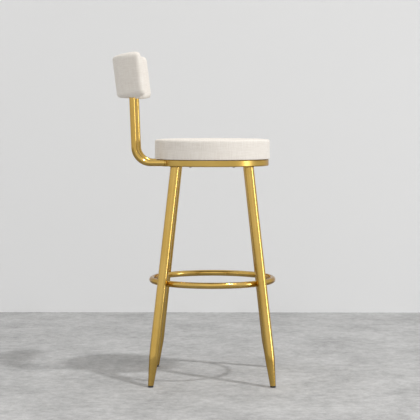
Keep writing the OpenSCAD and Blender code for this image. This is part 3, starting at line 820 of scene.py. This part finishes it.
def stampAlong(name, paths, tree, s, material):
    form = bmesh.new()
    for path in paths:
        verts = [form.verts.new(point) for point in path]
        for first, second in zip(verts, verts[1:]):
            form.edges.new((first, second))
    data = bpy.data.meshes.new(name)
    form.to_mesh(data)
    form.free()
    piece = bpy.data.objects.new(name, data)
    scene.collection.objects.link(piece)
    modifier = piece.modifiers.new("stamps", "NODES")
    modifier.node_group = tree
    given = {"Spacing": s["spacing"], "Size": s["size"], "Seed": s["seed"], "Look": material}
    for item in tree.interface.items_tree:
        if item.in_out == "INPUT" and item.name in given:
            modifier[item.identifier] = given[item.name]
    baked(piece)
    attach(piece, "root")
    return piece


def staplePaths(s):
    # four arcs, clear of the cross tubes
    gap = math.radians(s["gap"])
    for quarter in range(4):
        angles = np.linspace(quarter * math.pi / 2 + gap, (quarter + 1) * math.pi / 2 - gap, s["steps"])
        yield [(seatX + s["radius"] * math.cos(a), s["radius"] * math.sin(a), s["height"]) for a in angles]


def stitchPaths(s):
    # along the pad's underside, with a break round each post
    aside, clear = backPad["postAside"], s["clear"]
    for low, high in ((-s["reach"], -aside - clear), (clear - aside, aside - clear), (aside + clear, s["reach"])):
        across = np.linspace(low, high, s["steps"])
        rear, front = padFaces(across)
        forward = rear + s["share"] * (front - rear)
        below = np.full(s["steps"], backPad["base"] - s["below"])
        points = fromPad(np.stack([forward, across, below], axis=1))
        yield [tuple(point) for point in settle(points, padDistance, -s["sink"], 6)]


stamps = stampTree()
staples = stampAlong("seatStaples", staplePaths(stapleRow), stamps, stapleRow, zinc)
stitches = stampAlong("padStitches", stitchPaths(stitchRow), stamps, stitchRow, thread)
print("staples and stitches made")

# Floor, wall and lights

floorSettings = {
    # the floor's tone as the gold reflects it is painted darker: painted shade on the tubes' lower sides
    "tone": 0.414, "reflectedShade": 0.72,  # the gold shows the floor darker
    "clouds": (5, 4, 0.55), "cloudShare": 0.3, "grit": (30, 8, 0.9), "gritShare": 0.7, "mottle": (0.60, 1.38),
    # nearToFar and backToFront are painted light: brighter near the camera and towards the stool's front, darker
    # towards the wall
    "nearToFar": (-1.2, 1.5, 1.10, 0.94), "backToFront": (-0.6, 0.7, 0.975, 1.02),  # two places, and their tones
    "reach": 9,
}
# the wall's low colour is painted shade: a little darker near the floor
wallSettings = {
    "low": (0.80, 0.807, 0.817, 1), "colour": (0.818, 0.825, 0.835, 1), "shadeFade": 1.3, "behind": 1.54, "high": 7,
}
skySettings = {
    "colour": (1, 0.985, 0.96, 1), "upShare": 0.6,
    "wallSide": 0.30, "cameraSide": 0.79, "sideRange": (-0.7, 0.3),
    "overhead": 0.25, "overheadRange": (1.0, 1.16),
}
keySettings = {"turn": 51, "rise": 60.5, "away": 4, "strength": 1.31, "angle": 3.6}
stripSettings = {"turn": 72.5, "rise": 4, "away": 3.0, "size": (0.44, 1.9), "power": 15}
lightsAim = Vector((seatX, 0, 0.62))


def wayTo(s):
    # turn is measured from the camera's side towards the stool's front
    turn, rise = math.radians(s["turn"]), math.radians(s["rise"])
    return Vector((math.sin(turn) * math.cos(rise), -math.cos(turn) * math.cos(rise), math.sin(rise)))


def addLight(name, kind, s):
    data = bpy.data.lights.new(name, kind)
    if kind == "SUN":
        data.energy, data.angle = s["strength"], math.radians(s["angle"])
    else:
        data.shape, data.energy = "RECTANGLE", s["power"]
        data.size, data.size_y = s["size"]
    light = bpy.data.objects.new(name, data)
    light.location = lightsAim + wayTo(s) * s["away"]
    light.rotation_euler = wayTo(s).to_track_quat("Z", "Y").to_euler()
    scene.collection.objects.link(light)


def addPlane(name, corners, material):
    data = bpy.data.meshes.new(name)
    data.from_pydata(corners, [], [(0, 1, 2, 3)])
    data.materials.append(material)
    thing = bpy.data.objects.new(name, data)
    scene.collection.objects.link(thing)


def clearFromBehind(tree, shader):
    # the floor and the wall don't hide the stool from their far sides
    behind = add(tree, "ShaderNodeNewGeometry").outputs["Backfacing"]
    clear = add(tree, "ShaderNodeBsdfTransparent").outputs[0]
    both = add(tree, "ShaderNodeMixShader", {0: behind, 1: shader.outputs[0], 2: clear}).outputs[0]
    tree.links.new(both, tree.nodes["Material Output"].inputs["Surface"])


def floorPaint(s):
    material, tree, shader = newMaterial("floorPaint", rough=0.75, specular=0.2)
    place = objectPlace(tree)
    clouds = calc(tree, "MULTIPLY", noiseOn(tree, place, *s["clouds"]), s["cloudShare"])
    grit = calc(tree, "MULTIPLY", noiseOn(tree, place, *s["grit"]), s["gritShare"])
    mottle = span(tree, calc(tree, "ADD", clouds, grit), *narrowRange, *s["mottle"])
    # painted light and shade: the floor's tone rises towards the camera and the stool's front, and falls towards
    # the wall
    paintedFalloff = calc(tree, "MULTIPLY", span(tree, parts(tree, place)["Y"], *s["nearToFar"]),
                  span(tree, parts(tree, place)["X"], *s["backToFront"]))
    tone = calc(tree, "MULTIPLY", calc(tree, "MULTIPLY", mottle, paintedFalloff), s["tone"])
    # painted shade: for glossy rays the floor is painted darker, so the gold shows a darker reflection below the
    # tubes
    reflectedShade = add(tree, "ShaderNodeLightPath").outputs["Is Glossy Ray"]
    tone = calc(tree, "MULTIPLY", tone, span(tree, reflectedShade, 0, 1, 1, s["reflectedShade"]))
    finish(tree, shader, add(tree, "ShaderNodeCombineColor", {0: tone, 1: tone, 2: tone}).outputs[0])
    clearFromBehind(tree, shader)
    return material


def wallPaint(s):
    material, tree, shader = newMaterial("wallPaint", rough=0.9, specular=0.1)
    # painted shade: the wall is a little darker at the floor and evens out by the fade height
    height = span(tree, parts(tree, objectPlace(tree))["Z"], 0, s["shadeFade"], 0, 1)
    finish(tree, shader, mixColour(tree, height, s["low"], s["colour"]))
    clearFromBehind(tree, shader)
    return material


def addSky(s):
    # brighter on the camera's side and overhead than towards the wall
    world = bpy.data.worlds.new("studio")
    world.use_nodes = True
    tree = world.node_tree
    way = parts(tree, add(tree, "ShaderNodeTexCoord").outputs["Generated"])
    facing = calc(tree, "SUBTRACT", calc(tree, "MULTIPLY", way["Z"], s["upShare"]), way["Y"])
    lit = calc(tree, "ADD", span(tree, facing, *s["sideRange"], s["wallSide"], s["cameraSide"], True),
               span(tree, facing, *s["overheadRange"], 0, s["overhead"], True))
    plug(tree, tree.nodes["Background"].inputs["Strength"], lit)
    plug(tree, tree.nodes["Background"].inputs["Color"], s["colour"])
    scene.world = world


reach, wallY, wallTop = floorSettings["reach"], wallSettings["behind"], wallSettings["high"]
addPlane("floor", [(-reach, -reach, 0), (reach, -reach, 0), (reach, wallY, 0), (-reach, wallY, 0)],
         floorPaint(floorSettings))
addPlane("wall", [(-reach, wallY, 0), (reach, wallY, 0), (reach, wallY, wallTop), (-reach, wallY, wallTop)],
         wallPaint(wallSettings))
addSky(skySettings)
addLight("keyLight", "SUN", keySettings)
addLight("stripLight", "AREA", stripSettings)
scene.view_settings.view_transform = "Standard"
print("studio ready")
